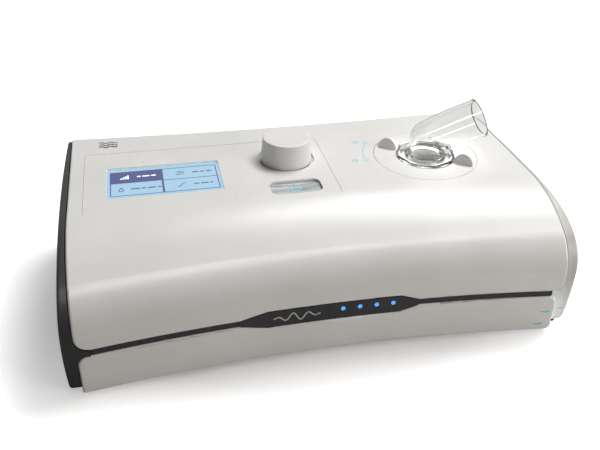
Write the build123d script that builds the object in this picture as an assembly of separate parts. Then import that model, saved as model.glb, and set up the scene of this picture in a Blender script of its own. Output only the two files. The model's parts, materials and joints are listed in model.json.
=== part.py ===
from build123d import *
import os
from math import cos, radians, sin, sqrt

# Bedside ventilator with a built-in humidifier. Millimetres, +Z up, front towards -Y.
# The origin is on the table, under the middle of the housing.

# ---------------------------------------------------------------- housing form
SHELL_W = 246.4  # white shells, between the two end caps
HALF_W = SHELL_W / 2
CAP_BULGE = 7.6  # each end cap stands out this far past the shells
CAP_START = 116.3  # the left cap's inner edge, next to the trim band
CAP_SKIN = 2.4
CAP_ROUND = 1.4  # rounded rim of the end caps
CROWN_R = 1500.0  # plan curve of the end caps
# Upright curve of each end cap: heights, and how far it stands in there from the widest point
LEFT_CROWN = ((-5, 1.7), (24, 0), (48, 1.15), (75, 5.2))
RIGHT_CROWN = ((-5, 5.6), (12, 1.2), (33, 0), (52, 0.3), (62, 2.0), (69, 5.6), (75, 10.5))
LEFT_BOTTOM_Z = 3.0
DEPTH = 139.4
FOOT_H = 1.6  # the rubber feet lift the base by this much
TOP_Z = 69.6
FRONT_SAG = 8.9  # the front face curves in by this much at mid width
BACK_SAG = 3.7
NOSE_Z = 36.0  # the front is upright to this height
NOSE_R = 26.0
NOSE_TURN = 55.0  # degrees of the tight arc, before the wide one takes over
WALL = 3.0
FIT = 0.3  # gap between pieces that move past each other or butt up
EDGE = 0.15  # gap between two fixed pieces

BROW_R = (TOP_Z - NOSE_Z - NOSE_R * sin(radians(NOSE_TURN))) / (1 - sin(radians(NOSE_TURN)))
FRONT_Y = -DEPTH / 2 + FRONT_SAG  # front face at mid width
FRONT_R = (HALF_W**2 + FRONT_SAG**2) / (2 * FRONT_SAG)
BACK_Y = DEPTH / 2 - BACK_SAG
BACK_R = (HALF_W**2 + BACK_SAG**2) / (2 * BACK_SAG)
FRONT_AXIS = Axis((0, FRONT_Y - FRONT_R, 0), (0, 0, 1))
FRONT_SWEEP = 19.0  # degrees of plan curve, wider than the housing

# ---------------------------------------------------------------- shells and trim
SEAM_LOW = 23.7  # the dark trim band lies between these two heights
SEAM_HIGH = 27.3
BAND_LEFT, BAND_RIGHT = -116.0, 118.0
PLATE_LOW, PLATE_HIGH = 20.6, 30.6
PLATE_LEFT, PLATE_RIGHT = -32.0, 37.0
PLATE_TAPER_LEFT, PLATE_TAPER_RIGHT = -45.8, 46.7
COVER_CORNERS = (7.5, 5.0)  # lower corners of the top cover, left and right
BASE_LEFT, BASE_RIGHT = -122.8, 121.0
BASE_CORNER = 4.8
FLOOR_Z = FOOT_H + 2.6
LED_X = (6.7, 15.5, 24.2, 32.9)
LED_Z = 26.8
LED_R = 1.15
EDGE_ROUND = 1.1  # along the front edges of both shells

# ---------------------------------------------------------------- control panel
PANEL_X = (-115.5, 15.6)
PANEL_Y = (-20.1, 46.1)
PANEL_T = 1.5
WINDOW_X = (-103.9, -44.0)
WINDOW_Y = (-4.5, 28.0)
WINDOW_T = 0.65
WINDOW_SUNK = 0.6
KNOB_AT = (-5.8, 23.7)
KNOB_R_LOW, KNOB_R_TOP = 14.2, 13.0
KNOB_TOP_Z = 82.7
KNOB_WELL_R = 15.7
KNOB_TRAVEL = 0.8
SLOT_X = (-20.7, 6.7)
SLOT_Y = (-15.2, -1.8)
SLOT_R = 3.7
BUTTON_SUNK = 1.6
BOARD_Z = 56.0  # underside of the display board
BOARD_T = 1.6
BOARD_SCREWS = ((-108.0, 38.0), (-108.0, -14.0), (8.0, 38.0), (-28.0, -14.0))
MAIN_BOARD_Z = 32.0
STANDOFFS = ((-98.0, -33.0), (-98.0, 39.0), (-66.0, -33.0), (-66.0, 39.0))

# ---------------------------------------------------------------- air outlet
OUTLET_AT = (72.8, 13.2)
RING_R = 29.1
RING_BORE = 16.9
RING_T = 2.4
RING_HOLE_R = 26.0
WING_ANGLE = 143.0
WING_MID_R = 22.3
WING_LENGTH = 11.5
WING_H = 5.9
WING_T = 5.0
COLLAR_R = 16.4
LEG_R = 9.65  # upright leg of the elbow
ELBOW_WALL = 1.5
ELBOW_BEND_Z = 80.5
ELBOW_RISE = 18.2  # degrees above level
ELBOW_REACH = 31.3  # bend to tip
OUTLET_R = 11.0  # 22 mm male breathing connector
OUTLET_LENGTH = 16.0
SOCKET_Z = 58.0

# ---------------------------------------------------------------- tank and heater
TANK_X = (38.0, 117.7)
TANK_Y = (-56.0, 60.0)
TANK_FLOOR_Z = 9.5
TANK_TOP_Z = 50.0
TANK_WALL = 2.2
TANK_R = 8.0
TANK_INSET = WALL + 0.8  # the tank follows the nose at this depth
CHIMNEY_TOP_Z = 57.4
INLET_AT = (-18.0, 30.0)  # Y and Z of the air inlet in the tank's inner end
INLET_R = 9.0
HEATER_AT = (78.0, 2.0)
HEATER_R = 38.0
END_BOTTOM_Z = 5.0
END_BOTTOM_R = 6.0
BAY_X = (32.5, 34.5)

# ---------------------------------------------------------------- blower
BOX_X = (-58.0, 24.0)
BOX_Y = (-46.0, 50.0)
BOX_Z = (5.0, 47.0)
BOX_SPLIT_Z = 40.0
BLOWER_AT = (-14.0, 10.0)
VOLUTE_R = 30.0
VOLUTE_Z = (21.0, 30.0, 39.0)
IMPELLER_R = 24.0
SHAFT_R = 1.5
MOUNT_RADIUS = 34.0
MOUNT_ANGLES = (30, 150, 250)
MOUNTS = [
    (BLOWER_AT[0] + MOUNT_RADIUS * cos(radians(a)), BLOWER_AT[1] + MOUNT_RADIUS * sin(radians(a)))
    for a in MOUNT_ANGLES
]

# ---------------------------------------------------------------- rear
REAR_X = (-108.0, 20.0)
REAR_Z = (10.0, 52.0)
DOOR_X = (-42.0, 6.0)
DOOR_Z = (14.0, 42.0)
DOOR_T = 2.0
DOOR_Y = 65.6  # outer face
CARD_AT = (-86.0, 40.0)  # X and Z of the card's middle
CARD_SIZE = (24.0, 32.0, 2.1)
JACK_AT = (-92.0, 22.0)
PORT_AT = (-64.0, 22.0)
POSTS = ((-106.0, -44.0), (-106.0, 54.0), (28.2, -50.0), (28.2, 56.0))
POST_R = 3.2
POST_SPLIT_Z = 25.8
FEET = ((-92.0, -54.0), (102.0, -54.0), (-92.0, 55.0), (102.0, 55.0))
FOOT_R = 7.0


# ================================================================ helpers
def side_view(front, back, bottom, inset=0.0):
    """Side view on the YZ plane: upright front, nose in two tangent arcs, level top, upright back."""
    turn = radians(NOSE_TURN)
    nose = (front + NOSE_R, NOSE_Z)
    brow = (nose[0] + (BROW_R - NOSE_R) * cos(turn), nose[1] - (BROW_R - NOSE_R) * sin(turn))
    top = TOP_Z - inset
    edges = [
        Line((front + inset, bottom), (front + inset, NOSE_Z)),
        CenterArc(nose, NOSE_R - inset, 180, -NOSE_TURN),
        CenterArc(brow, BROW_R - inset, 180 - NOSE_TURN, NOSE_TURN - 90),
        Line((brow[0], top), (back, top)),
        Line((back, top), (back, bottom)),
        Line((back, bottom), (front + inset, bottom)),
    ]
    return Plane.YZ * make_face(edges)


def housing(inset=0.0, bottom=FOOT_H):
    """The housing's outer form moved in by inset, open-ended in X: wider than the shells."""
    profile = side_view(FRONT_Y, DEPTH, bottom, inset)
    swept = revolve(profile.rotate(FRONT_AXIS, -FRONT_SWEEP / 2), FRONT_AXIS, FRONT_SWEEP)
    behind = Pos(0, BACK_Y + BACK_R, TOP_Z / 2) * Cylinder(BACK_R + inset, 3 * TOP_Z)
    return swept - behind


def block(x, y, z):
    """Box between two X, two Y and two Z values."""
    size = Box(x[1] - x[0], y[1] - y[0], z[1] - z[0])
    return Pos((x[0] + x[1]) / 2, (y[0] + y[1]) / 2, (z[0] + z[1]) / 2) * size


def rounded_block(x, y, z, radius):
    """Box with upright edges rounded."""
    plan = RectangleRounded(x[1] - x[0], y[1] - y[0], radius)
    return extrude(Pos((x[0] + x[1]) / 2, (y[0] + y[1]) / 2, z[0]) * plan, z[1] - z[0])


def disc(at, radius, z):
    """Upright cylinder between two Z values."""
    return Pos(at[0], at[1], (z[0] + z[1]) / 2) * Cylinder(radius, z[1] - z[0])


def ring(at, outer, inner, z):
    """Upright tube between two Z values."""
    return disc(at, outer, z) - disc(at, inner, z)


def rod_x(y, z, radius, x):
    """Cylinder along X."""
    return Pos((x[0] + x[1]) / 2, y, z) * Rot(0, 90, 0) * Cylinder(radius, x[1] - x[0])


def rod_y(x, z, radius, y):
    """Cylinder along Y."""
    return Pos(x, (y[0] + y[1]) / 2, z) * Rot(90, 0, 0) * Cylinder(radius, y[1] - y[0])


def outline(points, radii=()):
    """Face in the front view from its corners, with some corners rounded."""
    face = Sketch() + make_face(Polyline(*points, close=True))
    for point, radius in radii:
        corner = face.vertices().sort_by_distance((point[0], point[1], 0))[0]
        face = fillet(corner, radius)
    return face


def through_front(face, y=(-DEPTH, DEPTH)):
    """Prism along Y of a face drawn in the front view."""
    return Pos(0, y[1], 0) * extrude(Plane.XZ * face, y[1] - y[0])


def front_face_y(x):
    """Y of the front face at this X."""
    return FRONT_Y - FRONT_R + sqrt(FRONT_R**2 - x**2)


def round_front_edges(shell, z, radius):
    """Rounds the edges that lie on the front face between two heights."""
    edges = []
    for edge in shell.edges():
        middle = edge @ 0.5
        if z[0] < middle.Z < z[1] and abs(middle.Y - front_face_y(middle.X)) < 0.05:
            edges.append(edge)
    return fillet(edges, radius)


# ================================================================ outlines in the front view
def cover_outline(grow=0.0):
    low, left, right = SEAM_HIGH - grow, -HALF_W - grow, HALF_W + grow
    points = [(left, low), (right, low), (right, 2 * TOP_Z), (left, 2 * TOP_Z)]
    radii = [(points[0], COVER_CORNERS[0] + grow), (points[1], COVER_CORNERS[1] + grow)]
    return outline(points, radii)


def base_outline(grow=0.0):
    low, high = FOOT_H - grow, SEAM_LOW + grow
    left, right = BASE_LEFT - grow, BASE_RIGHT + grow
    points = [(left, low), (right, low), (right, high), (left, high)]
    radii = [(points[2], BASE_CORNER + grow), (points[3], BASE_CORNER + grow)]
    radii += [(points[0], 1.5), (points[1], 3.0)]
    return outline(points, radii)


def plate_outline():
    return outline(
        [
            (PLATE_TAPER_LEFT, SEAM_LOW),
            (PLATE_LEFT, PLATE_LOW),
            (PLATE_RIGHT, PLATE_LOW),
            (PLATE_TAPER_RIGHT, SEAM_LOW),
            (PLATE_TAPER_RIGHT, SEAM_HIGH),
            (PLATE_RIGHT, PLATE_HIGH),
            (PLATE_LEFT, PLATE_HIGH),
            (PLATE_TAPER_LEFT, SEAM_HIGH),
        ]
    )


def rear_outline(grow=0.0):
    middle = Pos((REAR_X[0] + REAR_X[1]) / 2, (REAR_Z[0] + REAR_Z[1]) / 2)
    return middle * RectangleRounded(REAR_X[1] - REAR_X[0] + 2 * grow, REAR_Z[1] - REAR_Z[0] + 2 * grow, 4)


# ================================================================ shells
def panel_plan(grow, z):
    x = (PANEL_X[0] - grow, PANEL_X[1] + grow)
    y = (PANEL_Y[0] - grow, PANEL_Y[1] + grow)
    return rounded_block(x, y, z, 3.0 + grow)


def window_plan(grow, z):
    x = (WINDOW_X[0] - grow, WINDOW_X[1] + grow)
    y = (WINDOW_Y[0] - grow, WINDOW_Y[1] + grow)
    return rounded_block(x, y, z, 1.2)


def slot_plan(grow, z):
    x = (SLOT_X[0] - grow, SLOT_X[1] + grow)
    y = (SLOT_Y[0] - grow, SLOT_Y[1] + grow)
    return rounded_block(x, y, z, SLOT_R + grow)


def cover_cuts():
    """Everything taken out of the top cover's wall."""
    above = (BOARD_Z, TOP_Z + 5)
    pocket = panel_plan(EDGE, above) - housing(PANEL_T + 0.05)
    ring_seat = disc(OUTLET_AT, RING_R + FIT, (TOP_Z - RING_T - FIT, TOP_Z + 5))
    ring_hole = disc(OUTLET_AT, RING_HOLE_R, above)
    knob_hole = disc(KNOB_AT, 4.6, above)
    holes = ring_hole + knob_hole + window_plan(0, above) + slot_plan(0, above)
    rear = through_front(rear_outline(EDGE), (40, DEPTH))
    plate = through_front(plate_outline(), (-DEPTH, 0))
    return pocket + ring_seat + holes + rear + plate


def top_cover():
    shell = (housing() & through_front(cover_outline())) - housing(WALL, -TOP_Z)
    back_edge = shell.edges().filter_by(GeomType.CIRCLE).filter_by(lambda e: e.center().Y > BACK_Y - 1)
    top_back = [e for e in back_edge if abs(e.center().Z - TOP_Z) < 0.5]
    shell = fillet(top_back, 2.5)
    boss = ring(OUTLET_AT, RING_HOLE_R + 6, RING_HOLE_R, (TOP_Z - 6.2, TOP_Z - WALL + 0.5))
    posts = Compound(children=[ring(at, POST_R, 1.45, (POST_SPLIT_Z + 0.2, TOP_Z)) for at in POSTS])
    shell = shell + boss + (posts & housing(WALL - 0.5)) - cover_cuts()
    return round_front_edges(shell, (SEAM_HIGH - 1, NOSE_Z), EDGE_ROUND)


def base_shell():
    solid = housing()
    front_half = solid & through_front(base_outline(), (-DEPTH, 0))
    rear_half = solid & block((BASE_LEFT, BASE_RIGHT), (0, DEPTH), (FOOT_H, SEAM_HIGH - EDGE))
    inside = housing(WALL, FLOOR_Z) & block((-DEPTH, DEPTH), (-DEPTH, DEPTH), (FLOOR_Z, 2 * TOP_Z))
    shell = front_half + rear_half - inside
    left_wall = block((BASE_LEFT, BASE_LEFT + WALL), (-DEPTH, DEPTH), (FOOT_H, SEAM_LOW))
    right_sill = block((BASE_RIGHT - WALL, BASE_RIGHT), (-DEPTH, DEPTH), (FOOT_H, END_BOTTOM_Z - 0.5))
    shell = shell + ((left_wall + right_sill) & solid & through_front(base_outline()))
    posts = Compound(children=[ring(at, POST_R, 1.7, (FLOOR_Z - 0.2, POST_SPLIT_Z)) for at in POSTS])
    standoffs = [disc(at, 2.6, (FLOOR_Z - 0.2, MAIN_BOARD_Z)) for at in STANDOFFS]
    shell = shell + posts + Compound(children=standoffs)
    shell = shell - through_front(plate_outline(), (-DEPTH, 0))
    shell = shell - through_front(rear_outline(EDGE), (40, DEPTH))
    for at in POSTS:
        shell = shell - disc(at, 1.7, (0, FLOOR_Z + 1)) - disc(at, 3.1, (0, FOOT_H + 1.6))
    for at in FEET:
        shell = shell - disc(at, FOOT_R + EDGE, (0, FOOT_H + 0.8))
    vents = [block((x, x + 2.5), (-40, -10), (0, FLOOR_Z + 1)) for x in range(-104, -66, 6)]
    shell = shell - Compound(children=vents)
    return round_front_edges(shell, (FOOT_H - 0.1, SEAM_LOW + 1), EDGE_ROUND)


def crown(curve, inset=0.0):
    """Wide form, curved both ways, that bounds the right-hand end cap on its outside."""
    reach = HALF_W + CAP_BULGE - inset
    outside = [(reach - back, z) for z, back in curve]
    inside = [(reach - 50, outside[-1][1]), (reach - 50, outside[0][1])]
    sides = Polyline(outside[-1], *inside, outside[0])
    profile = Plane.XZ * make_face([Spline(*outside), sides])
    axis = Axis((reach - CROWN_R, 0, 0), (0, 0, 1))
    return revolve(profile.rotate(axis, -4), axis, 8)


def end_dome(bottom, bottom_r, start, curve):
    """End of the housing at its right-hand side, solid from X = start outwards."""
    face = side_view(-DEPTH / 2 + 0.4, DEPTH / 2 - 0.4, bottom, 0.4)
    low_front = face.vertices().sort_by_distance((0, -DEPTH / 2, bottom))[0]
    face = fillet(low_front, bottom_r)
    low_back = face.vertices().sort_by_distance((0, DEPTH / 2, bottom))[0]
    face = fillet(low_back, bottom_r)
    top_back = face.vertices().sort_by_distance((0, DEPTH / 2, TOP_Z))[0]
    face = fillet(top_back, 4.0)
    dome = extrude(Pos(start, 0, 0) * face, HALF_W + CAP_BULGE - start) & crown(curve)
    outer = dome.faces().sort_by(Axis.X)[-1]
    return fillet(outer.edges(), CAP_ROUND)


def end_cap(bottom, bottom_r, start, curve, shells):
    """Hollow end cap: a dome outside the shells, which also fills the front corner between them,
    and a spigot inside the top cover."""
    dome = end_dome(bottom, bottom_r, start, curve)
    spigot_low = SEAM_LOW + FIT
    spigot_form = side_view(-DEPTH / 2 + 0.4, DEPTH / 2 - 6, spigot_low, WALL + 2.2)
    spigot = extrude(Pos(start, 0, 0) * spigot_form, HALF_W + 2 - start)
    hollow_form = side_view(-DEPTH / 2 + 0.4, DEPTH / 2 - 8, bottom + 4, WALL + 4.2)
    hollow = extrude(Pos(start - 10, 0, 0) * hollow_form, 40) & crown(curve, CAP_SKIN)
    rear_corner = block((0, HALF_W + FIT), (DEPTH / 2 - 9, DEPTH), (0, TOP_Z))
    return dome - shells - rear_corner + spigot - hollow


def left_side_cover():
    cover = through_front(mirror(cover_outline(FIT), Plane.YZ))
    base = through_front(mirror(base_outline(FIT), Plane.YZ))
    cap = end_cap(LEFT_BOTTOM_Z, 5.0, CAP_START, LEFT_CROWN, cover + base)
    return mirror(cap, Plane.YZ)


def front_trim_band():
    low = outline(
        [
            (BAND_LEFT, SEAM_LOW + EDGE),
            (BAND_RIGHT, SEAM_LOW + EDGE),
            (BAND_RIGHT, SEAM_HIGH - EDGE),
            (BAND_LEFT, SEAM_HIGH - EDGE),
        ]
    )
    ahead = (-DEPTH, 0)
    band = (housing(0.9) - housing(2.6)) & through_front(low, ahead)
    plate = (housing(0.25) - housing(2.6)) & through_front(offset(plate_outline(), -EDGE), ahead)
    holes = [rod_y(x, LED_Z, LED_R + 0.05, (-DEPTH, 0)) for x in LED_X]
    return band + plate - Compound(children=holes)


def led_light_pipes():
    pipes = []
    for x in LED_X:
        face_y = front_face_y(x) + 0.1
        pipe = rod_y(x, LED_Z, LED_R, (face_y, face_y + 5))
        flange = rod_y(x, LED_Z, LED_R + 0.6, (face_y + 3.2, face_y + 5))
        pipes.append(pipe + flange)
    return Compound(children=pipes)


# ================================================================ control panel
def control_panel():
    above = (BOARD_Z, TOP_Z + 5)
    plate = (housing(0.1) - housing(PANEL_T)) & panel_plan(0, above)
    well = disc(KNOB_AT, KNOB_WELL_R, above)
    return plate - well - window_plan(0, above) - slot_plan(0, above)


def display_window():
    top = TOP_Z - WINDOW_SUNK
    return window_plan(-EDGE, (top - WINDOW_T, top))


def lcd_module():
    """Display with a backlight block, and its glass raised into the window's opening."""
    x = (WINDOW_X[0] - 3, WINDOW_X[1] + 3)
    y = (WINDOW_Y[0] - 4, WINDOW_Y[1] + 4)
    backlight = block(x, y, (62.6, TOP_Z - WALL - EDGE))
    glass = window_plan(-0.4, (66.0, TOP_Z - WINDOW_SUNK - WINDOW_T - 0.05))
    return backlight + glass


def lcd_frame():
    x = (WINDOW_X[0] - 5, WINDOW_X[1] + 5)
    y = (WINDOW_Y[0] - 6, WINDOW_Y[1] + 6)
    inner_x = (WINDOW_X[0] - 3 - EDGE, WINDOW_X[1] + 3 + EDGE)
    inner_y = (WINDOW_Y[0] - 4 - EDGE, WINDOW_Y[1] + 4 + EDGE)
    tray = block(x, y, (60.0, 66.2))
    return tray - block(inner_x, inner_y, (62.4, 70)) - block((-96, -52), (2, 22), (50, 70))


def display_board():
    board = rounded_block((-112.0, 12.0), (-18.0, 42.0), (BOARD_Z, BOARD_Z + BOARD_T), 2)
    holes = [disc(at, 1.6, (50, 60)) for at in BOARD_SCREWS]
    return board - Compound(children=holes)


def board_screws():
    screws = []
    for at in BOARD_SCREWS:
        head = disc(at, 2.6, (BOARD_Z - 2.0, BOARD_Z - 0.05))
        screws.append(head + disc(at, 1.4, (BOARD_Z - 2.0, 62.0)))
    return Compound(children=screws)


def encoder_body():
    x, y = KNOB_AT
    low = BOARD_Z + BOARD_T
    can = block((x - 6, x + 6), (y - 6, y + 6), (low, low + 6.5))
    bushing = disc(KNOB_AT, 3.9, (low, 67.6))
    bore = disc(KNOB_AT, 3.05, (low + 1.0, 70))
    return can + bushing - bore


def encoder_plunger():
    low = BOARD_Z + BOARD_T + 1.0
    return disc(KNOB_AT, 2.6, (low + KNOB_TRAVEL + 0.1, low + 2.6))


def knob_shaft():
    low = BOARD_Z + BOARD_T + 1.0 + 2.6 + 0.05
    shaft = disc(KNOB_AT, 3.0, (low, KNOB_TOP_Z - 3.0))
    flat = block((KNOB_AT[0] + 1.5, KNOB_AT[0] + 5), (KNOB_AT[1] - 5, KNOB_AT[1] + 5), (70.5, KNOB_TOP_Z))
    return shaft - flat


def knob():
    """Slightly tapered cap on a hub, with its lower rim inside the well of the panel."""
    low = TOP_Z - 0.6
    at = Pos(KNOB_AT[0], KNOB_AT[1], (low + KNOB_TOP_Z) / 2)
    body = at * Cone(KNOB_R_LOW, KNOB_R_TOP, KNOB_TOP_Z - low)
    top_edge = body.edges().sort_by(Axis.Z)[-1]
    body = fillet(top_edge, 0.7)
    hollow = ring(KNOB_AT, KNOB_R_LOW - 3.2, 5.5, (low - 1, KNOB_TOP_Z - 2.5))
    socket = disc(KNOB_AT, 3.0, (low - 1, KNOB_TOP_Z - 3.0))
    key = block((KNOB_AT[0] + 1.5, KNOB_AT[0] + 5), (KNOB_AT[1] - 5, KNOB_AT[1] + 5), (70.5, KNOB_TOP_Z))
    return body - hollow - (socket - key)


def power_button():
    top = TOP_Z - BUTTON_SUNK
    cap = slot_plan(-FIT, (63.2, top))
    flange = slot_plan(1.6, (63.2, 64.6))
    return cap + flange


def button_middle():
    return ((SLOT_X[0] + SLOT_X[1]) / 2, (SLOT_Y[0] + SLOT_Y[1]) / 2)


def switch_plunger():
    return disc(button_middle(), 1.7, (62.0, 63.2))


def power_switch():
    x, y = button_middle()
    low = BOARD_Z + BOARD_T
    return block((x - 3.1, x + 3.1), (y - 3.1, y + 3.1), (low, 61.1))


# ================================================================ air outlet
def wing():
    """Half-elliptical finger wing, thinner towards its rim, standing along the radius."""
    height = WING_H + 1.2
    half_ellipse = Ellipse(WING_LENGTH / 2, height) & Pos(0, height) * Rectangle(WING_LENGTH, 2 * height)
    low, high = WING_T / 2, WING_T / 5
    section = make_face(Polyline((-low, 0), (low, 0), (high, height), (-high, height), close=True))
    fin = extrude(Plane.XZ * half_ellipse, WING_T, both=True)
    fin = fin & extrude(Plane.YZ * section, WING_LENGTH, both=True)
    return Pos(WING_MID_R, 0, TOP_Z - 1.2) * fin


def lock_ring():
    """Flush disc with two wings, and a skirt with bayonet lugs under the cover."""
    top = (TOP_Z - RING_T, TOP_Z)
    plate = disc(OUTLET_AT, RING_R, top)
    skirt = disc(OUTLET_AT, RING_HOLE_R - FIT, (TOP_Z - 8.6, TOP_Z - RING_T + 0.5))
    lug_zone = (TOP_Z - 8.6, TOP_Z - 6.6)
    lugs = disc(OUTLET_AT, RING_HOLE_R + 2.2, lug_zone)
    gaps = [Rot(0, 0, a) * Pos(RING_R, 0, TOP_Z - 7) * Box(40, 20, 8) for a in (60, 180, 300)]
    lugs = lugs - Pos(OUTLET_AT[0], OUTLET_AT[1], 0) * Compound(children=gaps)
    body = plate + skirt + lugs - disc(OUTLET_AT, RING_HOLE_R - 2.4, (0, TOP_Z - RING_T))
    body = body - disc(OUTLET_AT, RING_BORE, (0, 2 * TOP_Z))
    for angle in (WING_ANGLE, WING_ANGLE + 180):
        body = body + Pos(OUTLET_AT[0], OUTLET_AT[1], 0) * Rot(0, 0, angle) * wing()
    return body


def outlet_socket():
    """Fixed tube under the ring that the collar plugs into, hung from the cover by a flange."""
    tube = disc(OUTLET_AT, 15.0, (SOCKET_Z, 67.2))
    hanger = disc(OUTLET_AT, RING_HOLE_R + 5, (SOCKET_Z, SOCKET_Z + 2))
    rim = ring(OUTLET_AT, RING_HOLE_R + 5, RING_HOLE_R + 3, (SOCKET_Z, TOP_Z - 6.2 - EDGE))
    return tube + hanger + rim - disc(OUTLET_AT, 12.2, (0, 2 * TOP_Z))


def outlet_seal():
    """Silicone face seal pressed on the socket's lower end, over the tank's chimney."""
    return ring(OUTLET_AT, 15.5, 12.4, (CHIMNEY_TOP_Z + FIT, SOCKET_Z))


def outlet_collar():
    """Clear sleeve: an eight-sided flange with a dished top, and a stem that plugs into the socket."""
    flange = disc(OUTLET_AT, COLLAR_R, (67.5, 71.4))
    downwards = (Align.CENTER, Align.CENTER, Align.MAX)
    dish = Pos(*OUTLET_AT, 71.4) * Cone(11.2, 14.6, 2.4, align=downwards)
    facets = extrude(Pos(*OUTLET_AT, 69.8) * RegularPolygon(COLLAR_R * 1.03, 8), 5)
    flange = flange & (facets + disc(OUTLET_AT, COLLAR_R + 1, (60, 69.8)))
    stem = disc(OUTLET_AT, 11.9, (60.0, 67.8))
    return flange + stem - dish - disc(OUTLET_AT, LEG_R + 0.08, (50, 80))


def elbow_form(leg_r, tip_r, low, reach):
    """Upright leg and slanting tube, mitred on a ball at the bend. The tube widens to the connector."""
    bend = Pos(OUTLET_AT[0], OUTLET_AT[1], ELBOW_BEND_Z)
    leg = disc(OUTLET_AT, leg_r, (low, ELBOW_BEND_Z))
    flare = ELBOW_REACH - OUTLET_LENGTH
    tilt = bend * Rot(0, 90 - ELBOW_RISE, 0)
    upwards = (Align.CENTER, Align.CENTER, Align.MIN)
    cone = tilt * Cone(leg_r, tip_r, flare, align=upwards)
    straight = tilt * Pos(0, 0, flare) * Cylinder(tip_r, reach - flare, align=upwards)
    return leg + bend * Sphere(leg_r) + cone + straight


def outlet_elbow():
    outer = elbow_form(LEG_R, OUTLET_R, 61.0, ELBOW_REACH)
    foot = disc(OUTLET_AT, 10.9, (69.1, 71.6))
    inner = elbow_form(LEG_R - ELBOW_WALL, OUTLET_R - ELBOW_WALL, 55.0, ELBOW_REACH + 5)
    return outer + foot - inner


# ================================================================ water tank
def tank_tub():
    body = rounded_block(TANK_X, TANK_Y, (TANK_FLOOR_Z, TANK_TOP_Z), TANK_R) & housing(TANK_INSET)
    inner_x = (TANK_X[0] + TANK_WALL, TANK_X[1] - TANK_WALL)
    inner_y = (TANK_Y[0] + TANK_WALL, TANK_Y[1] - TANK_WALL)
    cavity = rounded_block(inner_x, inner_y, (TANK_FLOOR_Z + 1.6, TANK_TOP_Z + 5), TANK_R - TANK_WALL)
    cavity = cavity & housing(TANK_INSET + TANK_WALL)
    port = rod_x(*INLET_AT, INLET_R + 1.6, (TANK_X[0] - 5, TANK_X[0] + 10))
    return body - cavity - port - disc(HEATER_AT, HEATER_R - 2, (0, 30))


def tank_base_plate():
    """Metal cup that closes the hole in the tub's floor and rests on the heater."""
    flange = disc(HEATER_AT, HEATER_R, (8.7, TANK_FLOOR_Z))
    return flange + ring(HEATER_AT, HEATER_R - 2.1, HEATER_R - 3.1, (TANK_FLOOR_Z - 0.1, 12.5))


def tank_inlet_tube():
    x = (TANK_X[0] - 0.4, TANK_X[0] + 20)
    tube = rod_x(*INLET_AT, INLET_R + 1.5, x)
    flange = rod_x(*INLET_AT, INLET_R + 4, (TANK_X[0] + TANK_WALL, TANK_X[0] + TANK_WALL + 1.5))
    return tube + flange - rod_x(*INLET_AT, INLET_R, (x[0] - 1, x[1] + 1))


def tank_gasket():
    outer = rounded_block(TANK_X, TANK_Y, (TANK_TOP_Z, TANK_TOP_Z + 1), TANK_R) & housing(TANK_INSET)
    inner_x = (TANK_X[0] + TANK_WALL, TANK_X[1] - TANK_WALL)
    inner_y = (TANK_Y[0] + TANK_WALL, TANK_Y[1] - TANK_WALL)
    inner = rounded_block(inner_x, inner_y, (40, 60), TANK_R - TANK_WALL)
    return outer - (inner & housing(TANK_INSET + TANK_WALL))


def tank_lid():
    low = TANK_TOP_Z + 1
    plate = rounded_block(TANK_X, TANK_Y, (low, low + 3.4), TANK_R) & housing(TANK_INSET)
    inner_x = (TANK_X[0] + 4, TANK_X[1] - 4)
    inner_y = (TANK_Y[0] + 4, TANK_Y[1] - 4)
    relief = rounded_block(inner_x, inner_y, (low - 1, low + 1.4), TANK_R - 4) & housing(TANK_INSET + 4)
    chimney = disc(OUTLET_AT, 14.4, (low + 1, CHIMNEY_TOP_Z))
    return plate - relief + chimney - disc(OUTLET_AT, 12.2, (0, 80))


def tank_end_cover():
    """Clear end of the tank, which closes the housing's right-hand side."""
    shells = through_front(cover_outline(FIT)) + through_front(base_outline(FIT))
    cap = end_cap(END_BOTTOM_Z, END_BOTTOM_R, TANK_X[1] + 0.6, RIGHT_CROWN, shells)
    web_x = (TANK_X[1] + EDGE, HALF_W + CAP_BULGE)
    webs = [block(web_x, (y, y + 2), (14, 48)) & crown(RIGHT_CROWN, 1.5) for y in (-40, 0, 40)]
    rail = block((TANK_X[1] + EDGE, TANK_X[1] + 1.6), (-50, 54), (12, 48))
    return cap + rail + Compound(children=webs)


def tank_bumper():
    stub = disc((124.4, -63.0), 2.2, (END_BOTTOM_Z - 1.6, END_BOTTOM_Z + 3.0))
    return stub - end_dome(END_BOTTOM_Z, END_BOTTOM_R, HALF_W - 9, RIGHT_CROWN)


# ================================================================ heater
def heater_plate():
    return disc(HEATER_AT, HEATER_R, (6.9, 8.4))


def heater_film():
    return ring(HEATER_AT, HEATER_R - 3, 6, (6.6, 6.9))


def heater_springs():
    """Conical disc springs under the heater plate."""
    wall = [(6.0, 4.6), (6.6, 4.6), (3.2, 6.6), (2.6, 6.6)]
    spring = revolve(Plane.XZ * make_face(Polyline(*wall, close=True)), Axis.Z)
    x, y = HEATER_AT
    places = [(x + dx, y + dy) for dx in (-18, 18) for dy in (-18, 18)]
    return Compound(children=[Pos(px, py, 0) * spring for px, py in places])


def bay_wall():
    """Bulkhead between the tank and the rest, with the duct's hole."""
    plate = block(BAY_X, (-54.5, 61.5), (FLOOR_Z + 0.05, 56.0)) & housing(WALL + 0.5)
    return plate - rod_x(*INLET_AT, INLET_R + 0.6, (0, 60))


# ================================================================ blower
def sound_box(z):
    return rounded_block(BOX_X, BOX_Y, z, 4)


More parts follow.
